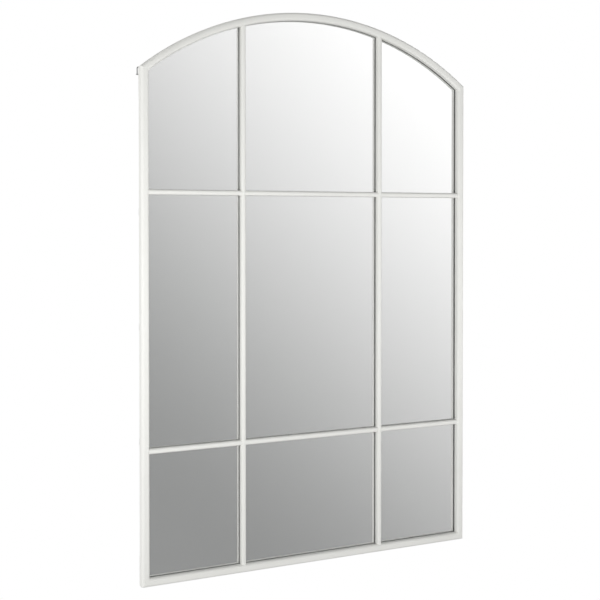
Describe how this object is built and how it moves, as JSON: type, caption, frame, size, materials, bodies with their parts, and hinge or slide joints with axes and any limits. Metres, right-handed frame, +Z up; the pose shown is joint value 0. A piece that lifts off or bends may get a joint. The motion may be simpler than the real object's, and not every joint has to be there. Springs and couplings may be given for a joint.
{
  "type": "window mirror",
  "caption": "Arched window-pane wall mirror: white half-oval tube frame and glazing bars over one mirror sheet, with back board, rims and hanging rings.",
  "frame": {"origin": "on the wall plane that the rear faces of the wall pads lie in, on the centreline, level with the bottom edge of the frame", "axes": "+X to the viewer's right, +Y back into the wall so that the mirror faces -Y, +Z up"},
  "size_m": [0.805, 0.0264, 1.2],
  "materials": {
    "white_paint": "satin",
    "clear_glass": "polished",
    "silvering": "polished",
    "hardboard": "matte",
    "zinc_plate": "satin",
    "pad_rubber": "matte"
  },
  "bodies": {
    "mirror": {"left_stile": "white_paint", "right_stile": "white_paint", "bottom_rail": "white_paint", "arch_head": "white_paint", "left_rim": "white_paint", "right_rim": "white_paint", "bottom_rim": "white_paint", "arch_rim": "white_paint", "left_upright_bar": "white_paint", "right_upright_bar": "white_paint", "upper_left_crossbar": "white_paint", "upper_middle_crossbar": "white_paint", "upper_right_crossbar": "white_paint", "lower_left_crossbar": "white_paint", "lower_middle_crossbar": "white_paint", "lower_right_crossbar": "white_paint", "top_left_corner_plate": "white_paint", "top_right_corner_plate": "white_paint", "bottom_left_corner_plate": "white_paint", "bottom_right_corner_plate": "white_paint", "mirror_glass": "clear_glass", "silver_film": "silvering", "back_board": "hardboard", "board_tabs": "zinc_plate", "left_hanger_strap": "zinc_plate", "right_hanger_strap": "zinc_plate", "hanger_rivets": "zinc_plate", "left_wall_pad": "pad_rubber", "right_wall_pad": "pad_rubber"},
    "left_ring": {"left_hanger_ring": "zinc_plate"},
    "right_ring": {"right_hanger_ring": "zinc_plate"}
  },
  "joints": [
    {"name": "left_ring_swing", "type": "hinge", "parent": "mirror", "child": "left_ring", "pos_m": [-0.3915, -0.00315, 1.047], "axis": [-1, 0, 0], "range_deg": [0, 175]},
    {"name": "right_ring_swing", "type": "hinge", "parent": "mirror", "child": "right_ring", "pos_m": [0.3915, -0.00315, 1.047], "axis": [-1, 0, 0], "range_deg": [0, 175]}
  ]
}
